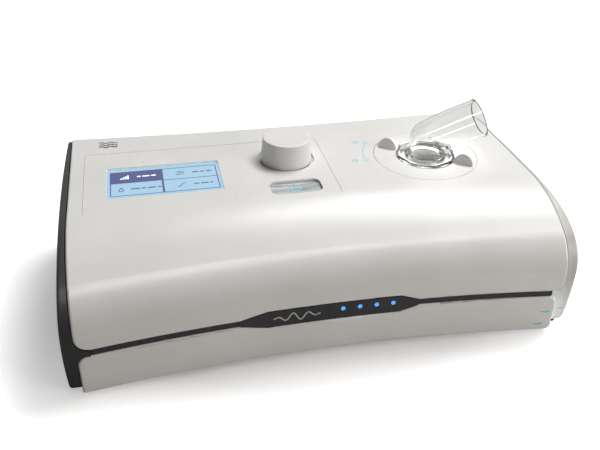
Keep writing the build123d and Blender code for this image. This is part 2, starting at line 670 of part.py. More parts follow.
def sound_box_base():
    inner = rounded_block((BOX_X[0] + 2, BOX_X[1] - 2), (BOX_Y[0] + 2, BOX_Y[1] - 2), (BOX_Z[0] + 2, 60), 2)
    body = sound_box((BOX_Z[0], BOX_SPLIT_Z)) - inner
    outlet = rod_x(*INLET_AT, INLET_R + 0.6, (10, 40))
    intake = rod_y(-18.0, 28.0, 9.0, (40, 60))
    return body - outlet - intake


def sound_box_lid():
    inner = rounded_block((BOX_X[0] + 2, BOX_X[1] - 2), (BOX_Y[0] + 2, BOX_Y[1] - 2), (30, BOX_Z[1] - 2), 2)
    return sound_box((BOX_SPLIT_Z + 0.1, BOX_Z[1])) - inner


def sound_foam():
    x = (BOX_X[0] + 2.2, BOX_X[0] + 8.2)
    side = block(x, (BOX_Y[0] + 5, BOX_Y[1] - 5), (BOX_Z[0] + 2.2, 38))
    front = block((BOX_X[0] + 8.4, BOX_X[1] - 8), (BOX_Y[0] + 2.2, BOX_Y[0] + 10), (BOX_Z[0] + 2.2, 38))
    return Compound(children=[side, front])


def volute(z, wall):
    """Round chamber with a tangential outlet leaving towards the tank."""
    chamber = disc(BLOWER_AT, VOLUTE_R - wall, z)
    throat_x = (BLOWER_AT[0], 20.0 if wall else 19.0)
    throat = block(throat_x, (INLET_AT[0] - 8 + wall, INLET_AT[0] + 8 - wall), z)
    return chamber + throat


def blower_lower_housing():
    low, mid, _ = VOLUTE_Z
    body = volute((low, mid), 0) - volute((low + 2, mid + 1), 2)
    ears = [disc(at, 5.0, (low, low + 2.5)) for at in MOUNTS]
    body = body + Compound(children=ears) - disc(BLOWER_AT, 5.1, (0, mid))
    return body - Compound(children=[disc(at, 2.2, (0, mid)) for at in MOUNTS])


def blower_upper_housing():
    _, mid, high = VOLUTE_Z
    body = volute((mid + 0.05, high), 0) - volute((mid - 1, high - 2), 2)
    bell = ring(BLOWER_AT, 13.0, 11.0, (high - 0.5, high + 3))
    return body - disc(BLOWER_AT, 11.0, (0, 60)) + bell


def blower_mounts():
    """Rubber bushes that hang the blower in the sound box."""
    mounts = []
    for at in MOUNTS:
        low = BOX_Z[0] + 2.1
        stem = disc(at, 4.0, (low, VOLUTE_Z[0] - 0.05)) + disc(at, 2.1, (low, VOLUTE_Z[0] + 4))
        mounts.append(stem + disc(at, 3.6, (VOLUTE_Z[0] + 2.6, VOLUTE_Z[0] + 4.5)))
    return Compound(children=mounts)


def blower_duct():
    """Silicone bellows from the blower to the bay wall."""
    tube = rod_x(*INLET_AT, 8.6, (19.2, BAY_X[1]))
    for x in (25.5, 28.5, 31.5):
        tube = tube + rod_x(*INLET_AT, 9.4, (x - 0.7, x + 0.7))
    return tube - rod_x(*INLET_AT, 7.4, (10, 50))


def impeller():
    """Radial wheel: a back disc, a hub and curved blades."""
    low = VOLUTE_Z[0] + 3.2
    back = disc(BLOWER_AT, IMPELLER_R, (low, low + 1.2))
    hub = disc(BLOWER_AT, 6.0, (low, low + 10.5))
    count = 11
    blades = []
    for i in range(count):
        arc = ring((9.0, 9.0), 12.9, 11.9, (low + 1.0, low + 8.5))
        blade = arc & block((7.0, 22.5), (-10.0, 4.0), (0, 60)) & disc((0, 0), IMPELLER_R - 0.5, (0, 60))
        blades.append(Pos(*BLOWER_AT, 0) * Rot(0, 0, 360 / count * i) * blade)
    return back + hub + Compound(children=blades) - disc(BLOWER_AT, SHAFT_R, (0, 60))


def rotor_shaft():
    return disc(BLOWER_AT, SHAFT_R, (9.5, VOLUTE_Z[0] + 13.0))


def rotor_magnet():
    return ring(BLOWER_AT, 6.0, SHAFT_R, (12.4, 18.6))


def motor_bearings():
    lower = ring(BLOWER_AT, 5.0, SHAFT_R + 0.03, (9.8, 12.2))
    upper = ring(BLOWER_AT, 5.0, SHAFT_R + 0.03, (VOLUTE_Z[0] - 0.6, VOLUTE_Z[0] + 1.9))
    return Compound(children=[lower, upper])


def motor_stator():
    """Motor can under the volute, with wound teeth round the magnet."""
    can = ring(BLOWER_AT, 17.0, 15.6, (8.4, VOLUTE_Z[0] - 0.05))
    floor = ring(BLOWER_AT, 16.0, 5.05, (8.4, 9.7))
    core = ring(BLOWER_AT, 15.6, 13.0, (12.4, 18.6))
    teeth = [Pos(*BLOWER_AT, 15.5) * Rot(0, 0, 60 * i) * Pos(10, 0, 0) * Box(7.0, 4.0, 6.2) for i in range(6)]
    seat = ring(BLOWER_AT, 6.5, 5.05, (8.4, 12.0))
    return can + floor + core + seat + (Compound(children=teeth) - disc(BLOWER_AT, 6.6, (0, 60)))


# ================================================================ electronics
def main_board():
    return rounded_block((-112.0, -61.0), (-38.0, 44.0), (MAIN_BOARD_Z, MAIN_BOARD_Z + BOARD_T), 2)


def main_board_parts():
    """Capacitors, chips, a heat sink, sockets and the alarm buzzer on the main board."""
    top = MAIN_BOARD_Z + BOARD_T
    buzzer = disc((-78.0, 23.0), 6.0, (top, top + 7.4)) - disc((-78.0, 23.0), 1.2, (top + 5, top + 8))
    caps = [disc((-104.0 + 13 * i, -28.0), 4.5, (top, top + 13)) for i in range(3)]
    large_chip = block((-104.0, -92.0), (-12.0, 0.0), (top, top + 1.4))
    small_chip = block((-88.0, -80.0), (-14, -4), (top, top + 1.6))
    fins = [block((-76.0 + 3 * i, -74.8 + 3 * i), (-12.0, 8.0), (top, top + 11)) for i in range(4)]
    sink = block((-77.0, -64.6), (-12.0, 8.0), (top, top + 2))
    for fin in fins:
        sink = sink + fin
    ribbon_socket = block((-104.0, -90.0), (10.0, 15.0), (top, top + 5))
    power_socket = block((-70.0, -63.0), (14, 24), (top, top + 6))
    return Compound(children=[*caps, large_chip, small_chip, sink, buzzer, ribbon_socket, power_socket])


def ribbon_cable():
    return block((-103.0, -91.0), (12.2, 12.7), (38.6, BOARD_Z))


def flow_sensor():
    """Small board on the duct's upper side, with two taps."""
    y, z = INLET_AT
    board = block((25.0, 31.5), (y - 6, y + 6), (z + 9.8, z + 11.0))
    return board + block((26.5, 30.5), (y - 4, y + 4), (z + 11.0, z + 14.0))


# ================================================================ rear
def rear_panel():
    plate = (housing(0.4) - housing(4.0)) & through_front(rear_outline(), (40, DEPTH))
    x, z = DOOR_X, DOOR_Z
    plate = plate - block(x, (40, 80), z)
    plate = plate - rod_x(DOOR_Y - 1.0, z[0] + 1.2, 0.85, (x[0] - 1.8, x[1] + 1.8))
    card_x, card_z = CARD_AT
    plate = plate - block((card_x - 13, card_x + 13), (40, 80), (card_z - 1.8, card_z + 1.8))
    plate = plate - rod_y(*JACK_AT, 5.2, (40, 80))
    port_x, port_z = PORT_AT
    return plate - block((port_x - 6.2, port_x + 6.2), (40, 80), (port_z - 3.2, port_z + 3.2))


def power_jack():
    """Round direct-current inlet: a sleeve with a pin in the middle."""
    x, z = JACK_AT
    body = block((x - 6.5, x + 6.5), (47, 61.5), (z - 6, z + 6))
    sleeve = rod_y(x, z, 5.0, (47, 66.0))
    pin = rod_y(x, z, 1.0, (52, 64.5))
    return body + sleeve - rod_y(x, z, 3.4, (53, 80)) + pin


def data_port():
    x, z = PORT_AT
    shell = block((x - 6.0, x + 6.0), (50, 65.8), (z - 3.0, z + 3.0))
    hollow = block((x - 5.2, x + 5.2), (52, 80), (z - 2.2, z + 2.2))
    return shell - hollow + block((x - 3.6, x + 3.6), (51.5, 63.0), (z - 1.6, z - 0.2))


def card_slot():
    x, z = CARD_AT
    outer = block((x - 14.0, x + 14.0), (32.0, 61.0), (z - 2.6, z + 2.6))
    return outer - block((x - 12.2, x + 12.2), (33.6, 70.0), (z - 1.25, z + 1.25))


def memory_card():
    """Card with one cut corner, standing out a little so that it can be pressed or pulled."""
    x, z = CARD_AT
    width, length, thick = CARD_SIZE
    card = block((x - width / 2, x + width / 2), (34.6, 34.6 + length), (z - thick / 2, z + thick / 2))
    corner = Pos(x - width / 2, 34.6, z) * Rot(0, 0, 45) * Box(5.6, 5.6, 5)
    return card - corner


def filter_frame():
    x = (DOOR_X[0] - 2.0, DOOR_X[1] + 2.0)
    z = (DOOR_Z[0] - 2.0, DOOR_Z[1] + 2.0)
    tray = block(x, (50.1, 61.6), z) - block(DOOR_X, (51.8, 80), DOOR_Z)
    bars = [block((bx, bx + 1.2), (50.1, 51.8), DOOR_Z) for bx in range(-36, 6, 6)]
    return tray - block((DOOR_X[0] + 3, DOOR_X[1] - 3), (45, 60), (DOOR_Z[0] + 3, DOOR_Z[1] - 3)) + Compound(
        children=bars
    )


def air_filter():
    x = (DOOR_X[0] + 0.5, DOOR_X[1] - 0.5)
    return block(x, (52.0, 60.0), (DOOR_Z[0] + 0.5, DOOR_Z[1] - 0.5))


def filter_door():
    """Slotted door that turns on two pins along its lower edge, which is rounded about them."""
    hinge_y, hinge_z = DOOR_Y - DOOR_T / 2, DOOR_Z[0] + 1.2
    x = (DOOR_X[0] + FIT, DOOR_X[1] - FIT)
    plate = block(x, (DOOR_Y - DOOR_T, DOOR_Y), (hinge_z, DOOR_Z[1] - FIT))
    edge = rod_x(hinge_y, hinge_z, DOOR_T / 2, x)
    pins = rod_x(hinge_y, hinge_z, 0.8, (DOOR_X[0] - 1.6, DOOR_X[1] + 1.6))
    slots = [block((sx, sx + 1.8), (60, 70), (DOOR_Z[0] + 5, DOOR_Z[1] - 7)) for sx in range(-37, 2, 4)]
    pull = block((-22, -14), (DOOR_Y - 1.0, DOOR_Y + 1), (DOOR_Z[1] - 4.5, DOOR_Z[1] - 1.5))
    return plate + edge + pins - Compound(children=slots) - pull


# ================================================================ feet and screws
def rubber_feet():
    feet = [disc(at, FOOT_R, (0, FOOT_H + 0.75)) for at in FEET]
    return Compound(children=feet)


def housing_screws():
    screws = []
    for at in POSTS:
        head = disc(at, 2.9, (FOOT_H + 0.2, FOOT_H + 1.55))
        screw = head + disc(at, 1.4, (FOOT_H + 0.2, POST_SPLIT_Z + 9))
        for size in ((3.2, 0.8), (0.8, 3.2)):
            screw = screw - Pos(at[0], at[1], FOOT_H) * Box(*size, 2.2)
        screws.append(screw)
    return Compound(children=screws)


# ================================================================ files
NODES = {
    "top_cover": top_cover(),
    "base_shell": base_shell(),
    "left_side_cover": left_side_cover(),
    "front_trim_band": front_trim_band(),
    "led_light_pipes": led_light_pipes(),
    "control_panel": control_panel(),
    "display_window": display_window(),
    "lcd_module": lcd_module(),
    "lcd_frame": lcd_frame(),
    "display_board": display_board(),
    "board_screws": board_screws(),
    "encoder_body": encoder_body(),
    "encoder_plunger": encoder_plunger(),
    "knob_shaft": knob_shaft(),
    "knob": knob(),
    "power_button": power_button(),
    "switch_plunger": switch_plunger(),
    "power_switch": power_switch(),
    "lock_ring": lock_ring(),
    "outlet_socket": outlet_socket(),
    "outlet_seal": outlet_seal(),
    "outlet_collar": outlet_collar(),
    "outlet_elbow": outlet_elbow(),
    "tank_tub": tank_tub(),
    "tank_base_plate": tank_base_plate(),
    "tank_inlet_tube": tank_inlet_tube(),
    "tank_gasket": tank_gasket(),
    "tank_lid": tank_lid(),
    "tank_end_cover": tank_end_cover(),
    "tank_bumper": tank_bumper(),
    "heater_plate": heater_plate(),
    "heater_film": heater_film(),
    "heater_springs": heater_springs(),
    "bay_wall": bay_wall(),
    "sound_box_base": sound_box_base(),
    "sound_box_lid": sound_box_lid(),
    "sound_foam": sound_foam(),
    "blower_lower_housing": blower_lower_housing(),
    "blower_upper_housing": blower_upper_housing(),
    "blower_mounts": blower_mounts(),
    "blower_duct": blower_duct(),
    "impeller": impeller(),
    "rotor_shaft": rotor_shaft(),
    "rotor_magnet": rotor_magnet(),
    "motor_bearings": motor_bearings(),
    "motor_stator": motor_stator(),
    "main_board": main_board(),
    "main_board_parts": main_board_parts(),
    "ribbon_cable": ribbon_cable(),
    "flow_sensor": flow_sensor(),
    "rear_panel": rear_panel(),
    "power_jack": power_jack(),
    "data_port": data_port(),
    "card_slot": card_slot(),
    "memory_card": memory_card(),
    "filter_frame": filter_frame(),
    "air_filter": air_filter(),
    "filter_door": filter_door(),
    "rubber_feet": rubber_feet(),
    "housing_screws": housing_screws(),
}

os.makedirs("parts", exist_ok=True)
for name, shape in NODES.items():
    export_step(shape, f"parts/{name}.step")
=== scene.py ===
import json
from math import cos, pi, radians, sin

import bmesh
import bpy
from mathutils import Matrix, Vector
from mathutils.bvhtree import BVHTree


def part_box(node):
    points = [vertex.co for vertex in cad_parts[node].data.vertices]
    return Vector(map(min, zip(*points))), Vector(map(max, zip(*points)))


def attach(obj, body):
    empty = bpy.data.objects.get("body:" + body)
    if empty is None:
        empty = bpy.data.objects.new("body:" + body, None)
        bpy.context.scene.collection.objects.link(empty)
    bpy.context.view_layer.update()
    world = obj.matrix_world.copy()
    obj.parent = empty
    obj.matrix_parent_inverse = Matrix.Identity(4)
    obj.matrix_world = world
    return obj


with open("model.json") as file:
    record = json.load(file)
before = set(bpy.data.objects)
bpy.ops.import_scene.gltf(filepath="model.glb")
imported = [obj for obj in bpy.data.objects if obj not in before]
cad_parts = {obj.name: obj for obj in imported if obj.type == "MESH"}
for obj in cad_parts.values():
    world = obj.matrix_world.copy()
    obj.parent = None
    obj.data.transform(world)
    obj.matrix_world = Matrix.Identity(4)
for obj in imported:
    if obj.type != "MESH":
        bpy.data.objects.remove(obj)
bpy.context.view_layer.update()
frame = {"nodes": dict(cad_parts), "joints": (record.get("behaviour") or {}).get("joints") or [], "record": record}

# Looks of a bedside ventilator with a built-in humidifier. Metres, in the frame's axes.
MM = 0.001
PRINT_T = 0.03 * MM  # thickness of printed ink
TOP_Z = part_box("top_cover")[1].z
JOINTS = {joint["name"]: joint for joint in frame["joints"]}
OUTLET = Vector(JOINTS["elbow_swivel"]["pos_m"])

# ---------------------------------------------------------------- camera
CAMERA_AT = Vector((-0.082384, -0.339927, 0.262514))
CAMERA_YAW = radians(13.2438)
CAMERA_PITCH = radians(32.5735)  # downwards
CAMERA_ROLL = radians(1.3816)
CAMERA_LENS = 44.627
SENSOR = 36.0

# ---------------------------------------------------------------- colours, linear
WHITE = (0.80, 0.79, 0.775)
WHITE_LIGHT = (0.84, 0.835, 0.82)
BLACK = (0.012, 0.012, 0.013)
CHARCOAL = (0.024, 0.025, 0.026)
TRIM_DARK = (0.019, 0.019, 0.020)
INDIGO = (0.072, 0.075, 0.225)
SCREEN_BLUE = (0.36, 0.65, 0.88)
INK_CYAN = (0.13, 0.62, 0.75)
INK_DARK = (0.035, 0.037, 0.04)
INK_LIGHT = (0.45, 0.46, 0.47)
LED_BLUE = (0.06, 0.30, 0.95)
LED_CORE = (0.12, 0.40, 0.95)
PICKED = (0.55, 0.68, 0.85)
# Painted shade: the colour of the dark ring drawn at the clear elbow's open end
END_SHADE_GREY = (0.09, 0.09, 0.09)
SMOKE = (0.60, 0.60, 0.57)
CLEAR_EDGE = (0.90, 0.93, 0.92)
SILVER = (0.72, 0.75, 0.77)

# ---------------------------------------------------------------- clear plastics
PLASTIC_IOR = 1.49
CLEAR_SHADOW = 0.08  # strength of the shadow that clear plastic throws
SMOKE_SHADOW = 0.25
SMOKE_RISE = (18 * MM, 34 * MM)  # heights between which the end cover turns from clear to grey
CLARITY_RISE = (18 * MM, 36 * MM)  # and between which it loses its transparency
BACKLIGHT = 0.93


# ================================================================ material helpers
def shader_of(material):
    return material.node_tree.nodes["Principled BSDF"]


def finish(name, color, roughness, **sockets):
    """Principled material. Other sockets are given by name, with _ for a space."""
    material = bpy.data.materials.new(name)
    material.use_nodes = True
    shader = shader_of(material)
    shader.inputs["Base Color"].default_value = (*color, 1)
    shader.inputs["Roughness"].default_value = roughness
    for socket, value in sockets.items():
        shader.inputs[socket.replace("_", " ")].default_value = value
    return material


def texture(material, kind, stretch=(1, 1, 1), **settings):
    """Procedural texture in the frame's own space; returns its first output."""
    tree = material.node_tree
    place = tree.nodes.new("ShaderNodeTexCoord")
    mapping = tree.nodes.new("ShaderNodeMapping")
    mapping.inputs["Scale"].default_value = stretch
    node = tree.nodes.new(kind)
    for name, value in settings.items():
        socket = node.inputs.get(name.replace("_", " "))
        if socket:
            socket.default_value = value
        else:
            setattr(node, name, value)
    tree.links.new(place.outputs["Object"], mapping.inputs["Vector"])
    tree.links.new(mapping.outputs["Vector"], node.inputs["Vector"])
    return node.outputs[0]


def noise(material, scale, stretch=(1, 1, 1), detail=3.0):
    return texture(material, "ShaderNodeTexNoise", stretch, Scale=scale, Detail=detail)


def height(material, axis):
    """The frame's own coordinate along one axis, in metres."""
    tree = material.node_tree
    place = tree.nodes.new("ShaderNodeTexCoord")
    split = tree.nodes.new("ShaderNodeSeparateXYZ")
    tree.links.new(place.outputs["Object"], split.inputs["Vector"])
    return split.outputs[axis]


def remap(material, value, source, target):
    """Straight-line change of a value from one range to another, clamped."""
    node = material.node_tree.nodes.new("ShaderNodeMapRange")
    node.inputs["From Min"].default_value = source[0]
    node.inputs["From Max"].default_value = source[1]
    node.inputs["To Min"].default_value = target[0]
    node.inputs["To Max"].default_value = target[1]
    material.node_tree.links.new(value, node.inputs["Value"])
    return node.outputs["Result"]


def blend_color(material, value, low, high, stops=(0.35, 0.65), socket="Base Color"):
    """Drives a colour socket between two colours."""
    ramp = material.node_tree.nodes.new("ShaderNodeValToRGB")
    first, last = ramp.color_ramp.elements
    first.position, last.position = stops
    first.color = (*low, 1)
    last.color = (*high, 1)
    material.node_tree.links.new(value, ramp.inputs["Fac"])
    material.node_tree.links.new(ramp.outputs["Color"], shader_of(material).inputs[socket])


def drive(material, value, socket, target, source=(0.3, 0.7)):
    """Drives a number socket from a texture."""
    result = remap(material, value, source, target)
    material.node_tree.links.new(result, shader_of(material).inputs[socket])


def bump(material, value, depth, strength=1.0):
    """Adds relief of this depth, on top of any relief added before."""
    tree = material.node_tree
    shader = shader_of(material)
    node = tree.nodes.new("ShaderNodeBump")
    node.inputs["Distance"].default_value = depth
    node.inputs["Strength"].default_value = strength
    before = shader.inputs["Normal"].links
    if before:
        tree.links.new(before[0].from_socket, node.inputs["Normal"])
    tree.links.new(value, node.inputs["Height"])
    tree.links.new(node.outputs["Normal"], shader.inputs["Normal"])


# ================================================================ materials
def moulded(name, low, high, rough, grain=2600.0, depth=0.006 * MM):
    """Injection-moulded plastic: faint mottle, uneven gloss and a fine surface grain."""
    material = finish(name, high, sum(rough) / 2)
    blend_color(material, noise(material, 28.0), low, high)
    drive(material, noise(material, 420.0, detail=5.0), "Roughness", rough)
    bump(material, noise(material, grain, detail=2.0), depth)
    bump(material, noise(material, 35.0, detail=1.0), 0.03 * MM, 0.25)
    return material


def spark_eroded(name, low, high, rough):
    """Coarser matt texture of a tool that was spark-eroded."""
    material = moulded(name, low, high, rough, grain=1500.0, depth=0.04 * MM)
    cells = texture(material, "ShaderNodeTexVoronoi", Scale=1800.0)
    bump(material, cells, 0.02 * MM, 0.6)
    return material


def let_light_through(material, shadow):
    """Lets lamps shine through the material, which then throws a shadow of this strength."""
    blocked = material.node_tree.nodes.new("ShaderNodeLightPath").outputs["Is Shadow Ray"]
    opacity = remap(material, blocked, (0, 1), (1, shadow))
    material.node_tree.links.new(opacity, shader_of(material).inputs["Alpha"])


def clear(name, tint, rough):
    """Clear moulded plastic with faint flow lines."""
    material = finish(name, tint, rough[0], Transmission_Weight=1.0, IOR=PLASTIC_IOR)
    drive(material, noise(material, 90.0, (1, 1, 0.3)), "Roughness", rough)
    bump(material, noise(material, 60.0, (1, 1, 0.25), detail=1.0), 0.05 * MM, 0.35)
    let_light_through(material, CLEAR_SHADOW)
    return material


def smoked_end():
    """Grey-green end cover of the tank, clear at its lower edge, where the water level shows."""
    material = finish("smoked_end", SMOKE, 0.4, IOR=PLASTIC_IOR, Coat_Weight=0.1, Coat_Roughness=0.35)
    rise = height(material, "Z")
    smoked_share = remap(material, rise, SMOKE_RISE, (0, 1))
    blend_color(material, smoked_share, CLEAR_EDGE, SMOKE, (0, 1))
    drive(material, rise, "Transmission Weight", (0.95, 0.35), CLARITY_RISE)
    drive(material, noise(material, 160.0), "Roughness", (0.36, 0.46))
    bump(material, noise(material, 70.0, detail=1.0), 0.05 * MM, 0.3)
    let_light_through(material, SMOKE_SHADOW)
    return material


def frosted():
    """Silvery light guide of the power button, with drawn streaks."""
    material = finish("button_clear", SILVER, 0.2, Transmission_Weight=0.3, IOR=PLASTIC_IOR)
    streaks = noise(material, 90.0, (0.7, 6, 1), detail=4.0)
    blend_color(material, streaks, (0.42, 0.45, 0.47), (0.90, 0.93, 0.95), (0.35, 0.62))
    drive(material, streaks, "Roughness", (0.12, 0.3))
    bump(material, streaks, 0.06 * MM)
    return material


def backlit():
    """Display: backlit blue with a faint pixel grid."""
    material = finish("display_backlight", (0.01, 0.02, 0.03), 0.3, Emission_Strength=BACKLIGHT)
    rows = texture(material, "ShaderNodeTexWave", Scale=700.0, bands_direction="Y")
    columns = texture(material, "ShaderNodeTexWave", Scale=700.0, bands_direction="X")
    tree = material.node_tree
    both = tree.nodes.new("ShaderNodeMath")
    both.operation = "MULTIPLY"
    tree.links.new(rows, both.inputs[0])
    tree.links.new(columns, both.inputs[1])
    edge = tuple(0.93 * c for c in SCREEN_BLUE)  # between the pixels
    blend_color(material, both.outputs[0], edge, SCREEN_BLUE, (0.0, 0.5), "Emission Color")
    return material


def glowing(name, core, edge, strength):
    """Lit light pipe, brighter where the light spreads evenly."""
    material = finish(name, edge, 0.25, Emission_Strength=strength)
    blend_color(material, noise(material, 1400.0), edge, core, (0.3, 0.6), "Emission Color")
    return material


def brushed(name, low, high, along, rough=(0.25, 0.4)):
    """Metal with brush lines; along stretches them."""
    material = finish(name, high, sum(rough) / 2, Metallic=1.0)
    lines = noise(material, 900.0, along, detail=6.0)
    blend_color(material, lines, low, high)
    drive(material, lines, "Roughness", rough)
    bump(material, lines, 0.01 * MM)
    return material


def circuit():
    """Green solder mask over copper tracks, with pads."""
    material = finish("circuit_board", (0.01, 0.12, 0.05), 0.35, Coat_Weight=0.4)
    tracks = texture(material, "ShaderNodeTexBrick", Scale=90.0, offset=0.37, Mortar_Size=0.06)
    blend_color(material, tracks, (0.008, 0.10, 0.045), (0.03, 0.24, 0.09), (0.2, 0.8))
    bump(material, tracks, 0.04 * MM)
    drive(material, noise(material, 300.0), "Roughness", (0.28, 0.42))
    return material


def windings():
    """Enamelled copper wire, wound side by side."""
    material = finish("windings", (0.55, 0.24, 0.10), 0.32, Metallic=0.9)
    turns = texture(material, "ShaderNodeTexWave", Scale=420.0, Distortion=0.6, bands_direction="Z")
    blend_color(material, turns, (0.22, 0.08, 0.03), (0.66, 0.31, 0.14), (0.2, 0.8))
    bump(material, turns, 0.12 * MM)
    return material


def foam():
    """Open-cell acoustic foam."""
    material = finish("acoustic_foam", (0.03, 0.03, 0.032), 0.95)
    cells = texture(material, "ShaderNodeTexVoronoi", Scale=700.0)
    blend_color(material, cells, (0.006, 0.006, 0.007), (0.06, 0.06, 0.065), (0.1, 0.6))
    bump(material, cells, 0.5 * MM)
    return material


def fibres():
    """Pleated filter fleece."""
    material = finish("filter_fleece", (0.75, 0.77, 0.78), 0.9, Sheen_Weight=0.3)
    pleats = texture(material, "ShaderNodeTexWave", Scale=110.0, Distortion=0.4, bands_direction="X")
    blend_color(material, pleats, (0.45, 0.47, 0.50), (0.82, 0.84, 0.85), (0.1, 0.9))
    bump(material, pleats, 0.6 * MM)
    bump(material, noise(material, 1900.0, detail=6.0), 0.1 * MM)
    return material


def rubbery(name, low, high, rough):
    """Soft moulded rubber or silicone with a dusty, fine-grained surface."""
    material = finish(name, high, sum(rough) / 2)
    blend_color(material, noise(material, 220.0, detail=6.0), low, high)
    drive(material, noise(material, 900.0), "Roughness", rough)
    bump(material, noise(material, 2200.0, detail=4.0), 0.03 * MM)
    return material


def ink(name, color, rough=0.45, **sockets):
    """Pad-printed ink, a little uneven in density."""
    material = finish(name, color, rough, **sockets)
    thin = tuple(min(1.0, 1.18 * c + 0.01) for c in color)
    blend_color(material, noise(material, 1200.0, detail=4.0), color, thin)
    bump(material, noise(material, 2600.0), 0.006 * MM)
    return material


MATERIALS = {
    "shell_white": moulded("shell_white", WHITE, WHITE_LIGHT, (0.27, 0.35), depth=0.001 * MM),
    "panel_white": moulded("panel_white", WHITE, WHITE_LIGHT, (0.27, 0.33), depth=0.001 * MM),
    "button_white": moulded("button_white", WHITE, WHITE_LIGHT, (0.36, 0.46)),
    "trim_black": moulded("trim_black", TRIM_DARK, CHARCOAL, (0.27, 0.31), depth=0.001 * MM),
    "cap_black": spark_eroded("cap_black", BLACK, CHARCOAL, (0.34, 0.46)),
    "clear_plastic": clear("clear_plastic", (0.935, 0.94, 0.935), (0.015, 0.05)),
    "smoked_plastic": smoked_end(),
    "light_pipe": glowing("light_pipe", LED_CORE, LED_BLUE, 0.85),
    "lcd_blue": backlit(),
    "black_plastic": moulded("black_plastic", BLACK, CHARCOAL, (0.42, 0.55)),
    "grey_plastic": moulded("grey_plastic", (0.15, 0.155, 0.16), (0.19, 0.195, 0.20), (0.42, 0.55)),
    "circuit_board": circuit(),
    "steel": brushed("steel", (0.42, 0.43, 0.44), (0.66, 0.67, 0.68), (1, 0.08, 1)),
    "aluminium": brushed("aluminium", (0.60, 0.61, 0.62), (0.82, 0.83, 0.84), (0.06, 1, 1)),
    "copper": windings(),
    "magnet": brushed("magnet", (0.08, 0.08, 0.085), (0.16, 0.16, 0.17), (1, 1, 1), (0.45, 0.6)),
    "silicone": rubbery("silicone", (0.50, 0.52, 0.52), (0.64, 0.66, 0.65), (0.48, 0.62)),
    "rubber_black": rubbery("rubber_black", (0.010, 0.010, 0.011), (0.030, 0.030, 0.032), (0.6, 0.8)),
    "foam": foam(),
    "filter_media": fibres(),
}
BUTTON_CLEAR = frosted()


def paint_frame():
    """Gives every carried-over CAD node the finish of its material slot."""
    for subpart in frame["record"]["subparts"]:
        node = frame["nodes"][subpart["node"]]
        node.data.materials.clear()
        node.data.materials.append(MATERIALS[subpart["material_slot"]])


# ================================================================ mesh helpers
class Relief:
    """Flat shapes drawn on a surface and raised a little, gathered into one mesh.
    place(u, v, h) gives the point at (u, v) on the surface, h above it. Lengths are in metres."""

    def __init__(self, place, thickness=PRINT_T):
        self.mesh = bmesh.new()
        self.place = place
        self.thickness = thickness

    def _loop(self, points, h):
        return [self.mesh.verts.new(self.place(u, v, h)) for u, v in points]

    def _walls(self, low, high):
        count = len(low)
        for i in range(count):
            j = (i + 1) % count
            self.mesh.faces.new((low[i], low[j], high[j], high[i]))

    def area(self, points):
        """Filled shape inside one closed line, which runs anticlockwise."""
        low, high = self._loop(points, 0), self._loop(points, self.thickness)
        self.mesh.faces.new(list(reversed(low)))
        self.mesh.faces.new(high)
        self._walls(low, high)

    def strip(self, inner, outer, closed=True):
        """Shape between two lines with as many points each."""
        sides = [(self._loop(line, 0), self._loop(line, self.thickness)) for line in (inner, outer)]
        (in_low, in_high), (out_low, out_high) = sides
        count = len(inner)
        for i in range(count if closed else count - 1):
            j = (i + 1) % count
            self.mesh.faces.new((in_high[i], out_high[i], out_high[j], in_high[j]))
            self.mesh.faces.new((in_low[i], in_low[j], out_low[j], out_low[i]))
            self.mesh.faces.new((in_low[i], in_high[i], in_high[j], in_low[j]))
            self.mesh.faces.new((out_low[i], out_low[j], out_high[j], out_high[i]))
        if not closed:
            self.mesh.faces.new((in_low[0], out_low[0], out_high[0], in_high[0]))
            self.mesh.faces.new((in_low[-1], in_high[-1], out_high[-1], out_low[-1]))

    def rectangle(self, u, v, steps=1):
        lower = [(u[0] + (u[1] - u[0]) * i / steps, v[0]) for i in range(steps + 1)]
        upper = [(a, v[1]) for a, _ in lower]
        self.strip(upper, lower, closed=False)

    def frame(self, u, v, width):
        corners = [(0, 0), (1, 0), (1, 1), (0, 1)]
        outer = [(u[a], v[b]) for a, b in corners]
        inner = [(u[a] + width * (1 - 2 * a), v[b] + width * (1 - 2 * b)) for a, b in corners]
        self.strip(inner, outer)

    def disc(self, at, radius, count=24):
        self.area(arc_points(at, radius, 0, 2 * pi, count)[:-1])

    def ring(self, at, radius, width, count=32):
        radii = (radius - width / 2, radius + width / 2)
        self.strip(*(arc_points(at, r, 0, 2 * pi, count)[:-1] for r in radii))

    def arc(self, at, radius, width, start, end, count=20):
        radii = (radius - width / 2, radius + width / 2)
        self.strip(*(arc_points(at, r, start, end, count) for r in radii), closed=False)

    def stroke(self, points, width):
        """Line of this width through the points."""
        left, right = [], []
        for i, (u, v) in enumerate(points):
            (a, b), (c, d) = points[max(i - 1, 0)], points[min(i + 1, len(points) - 1)]
            along = Vector((c - a, d - b)).normalized() * width / 2
            left.append((u - along.y, v + along.x))
            right.append((u + along.y, v - along.x))
        self.strip(left, right, closed=False)

    def piece(self, name, material, body):
        bmesh.ops.recalc_face_normals(self.mesh, faces=self.mesh.faces)
        data = bpy.data.meshes.new(name)
        self.mesh.to_mesh(data)
        self.mesh.free()
        data.materials.append(material)
        made = bpy.data.objects.new(name, data)
        bpy.context.scene.collection.objects.link(made)
        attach(made, body)
        return made


def arc_points(at, radius, start, end, count):
    turns = [start + (end - start) * i / count for i in range(count + 1)]
    return [(at[0] + radius * cos(turn), at[1] + radius * sin(turn)) for turn in turns]


def on_level(z):
    """Surface facing up at this height."""
    return lambda u, v, h: Vector((u, v, z + h))


def on_front(node):
    """The front of a CAD node, where (u, v) is (X, Z)."""
    mesh = frame["nodes"][node].data
    tree = BVHTree.FromPolygons([v.co for v in mesh.vertices], [list(p.vertices) for p in mesh.polygons])
    back = Vector((0, 1, 0))

    def place(u, v, h):
        hit, *_ = tree.ray_cast(Vector((u, -1, v)), back)
        return hit - back * (h + PRINT_T / 3)

    return place


